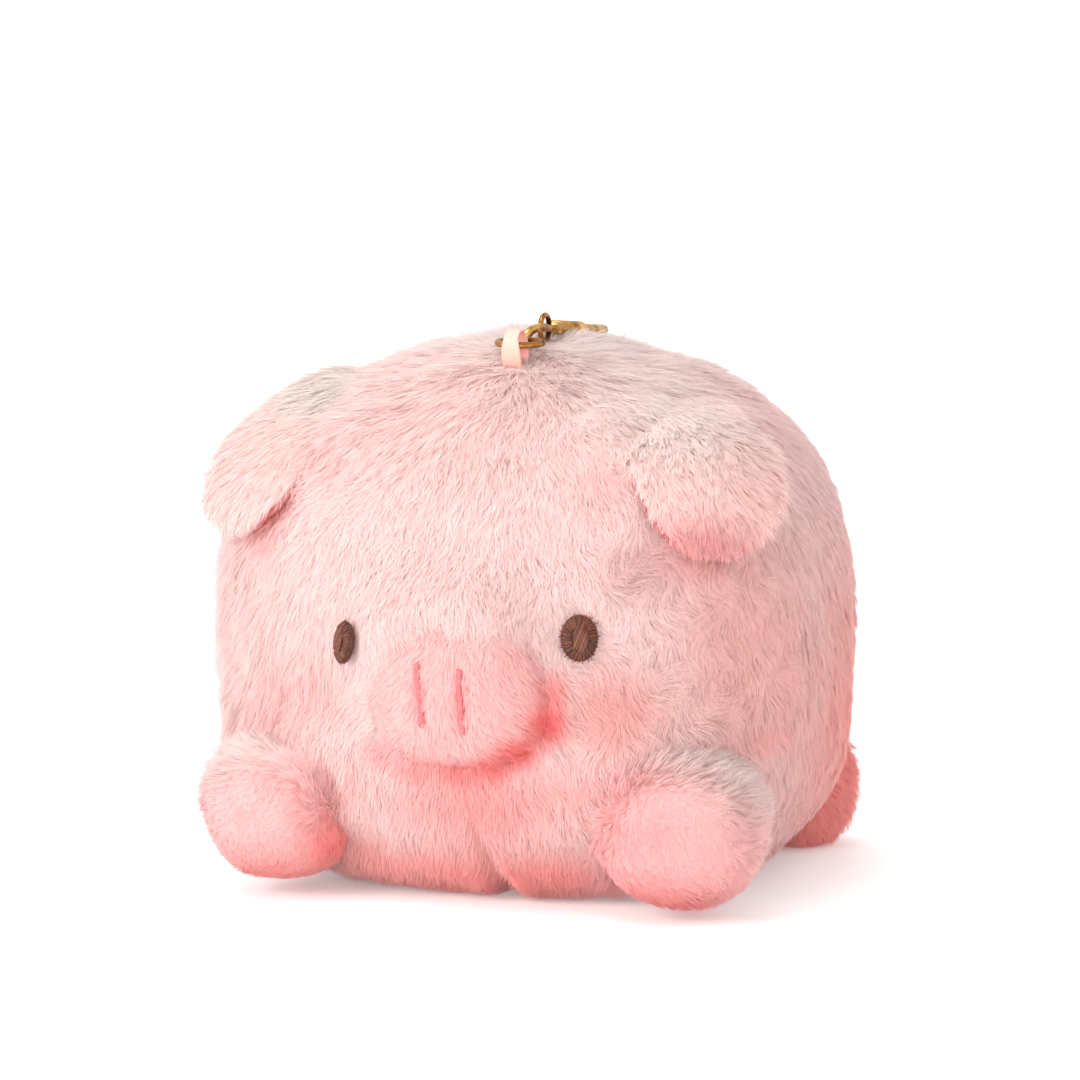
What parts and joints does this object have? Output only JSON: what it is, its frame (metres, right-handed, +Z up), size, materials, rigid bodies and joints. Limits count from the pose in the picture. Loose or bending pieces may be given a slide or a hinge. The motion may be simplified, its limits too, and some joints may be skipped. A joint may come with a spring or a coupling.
{
  "type": "plush pig charm",
  "caption": "Stuffed plush pig lying on its belly, with folded ears, stub legs, an oval snout, embroidered eyes, and a ribbon loop with rings and a lobster clasp on its back.",
  "frame": {"origin": "middle of the flat belly that it lies on", "axes": "+Z up through its back, -Y out of its snout, +X to its own left"},
  "size_m": [0.1018, 0.1103, 0.0932],
  "materials": {
    "face_plush": "long pile plush",
    "body_plush": "long pile plush",
    "pad_velour": "short pile velour",
    "lining_velour": "short pile velour",
    "polyfill": "loose fibre",
    "eye_thread": "embroidery thread",
    "nostril_thread": "embroidery thread",
    "satin_ribbon": "woven ribbon",
    "bright_brass": "polished",
    "spring_steel": "bright wire"
  },
  "bodies": {
    "pig": {"body_stuffing": "polyfill", "belly_panel": "body_plush", "snout_cover": "face_plush", "snout_stuffing": "polyfill", "tail": "body_plush", "ribbon_loop": "satin_ribbon", "face_panel_left": "face_plush", "flank_panel_left": "body_plush", "nostril_stitch_left": "nostril_thread", "eye_embroidery_left": "eye_thread", "foreleg_left_cover": "body_plush", "foreleg_left_stuffing": "polyfill", "paw_pad_left": "pad_velour", "hindleg_left_cover": "body_plush", "hindleg_left_stuffing": "polyfill", "face_panel_right": "face_plush", "flank_panel_right": "body_plush", "nostril_stitch_right": "nostril_thread", "eye_embroidery_right": "eye_thread", "foreleg_right_cover": "body_plush", "foreleg_right_stuffing": "polyfill", "paw_pad_right": "pad_velour", "hindleg_right_cover": "body_plush", "hindleg_right_stuffing": "polyfill"},
    "ear_left": {"ear_left_plush": "body_plush", "ear_left_lining": "lining_velour"},
    "ear_right": {"ear_right_plush": "body_plush", "ear_right_lining": "lining_velour"},
    "ring": {"jump_ring": "bright_brass"},
    "link": {"curb_link": "bright_brass"},
    "connector": {"connector_ring": "bright_brass"},
    "clasp": {"clasp_body": "bright_brass", "clasp_pin": "bright_brass", "clasp_spring": "spring_steel"},
    "gate": {"clasp_gate": "bright_brass"}
  },
  "joints": [
    {"name": "ear_left_fold", "type": "hinge", "parent": "pig", "child": "ear_left", "pos_m": [0.0215, -0.016, 0.07785], "axis": [-0.5854, -0.7671, -0.2624], "range_deg": [0, 60], "stiffness_Nm_per_rad": 0.002},
    {"name": "ear_right_fold", "type": "hinge", "parent": "pig", "child": "ear_right", "pos_m": [-0.0215, -0.016, 0.07785], "axis": [-0.5854, 0.7671, 0.2624], "range_deg": [0, 60], "stiffness_Nm_per_rad": 0.002},
    {"name": "ring_swing", "type": "hinge", "parent": "pig", "child": "ring", "pos_m": [0, -0.0186, 0.0894], "axis": [1, 0, 0], "range_deg": [0, 90]},
    {"name": "link_swing", "type": "hinge", "parent": "ring", "child": "link", "pos_m": [0, -0.0112, 0.0894], "axis": [1, 0, 0], "range_deg": [0, 45]},
    {"name": "connector_swing", "type": "hinge", "parent": "link", "child": "connector", "pos_m": [0, -0.00395, 0.0905], "axis": [1, 0, 0], "range_deg": [0, 60]},
    {"name": "clasp_swing", "type": "hinge", "parent": "connector", "child": "clasp", "pos_m": [0, -0.0022, 0.0905], "axis": [1, 0, 0], "range_deg": [0, 60]},
    {"name": "gate_hinge", "type": "hinge", "parent": "clasp", "child": "gate", "pos_m": [-0.002, 0.00524, 0.08952], "axis": [0, 0.1305, 0.9914], "range_deg": [-18, 0], "stiffness_Nm_per_rad": 0.005, "springref_deg": 17.19}
  ]
}
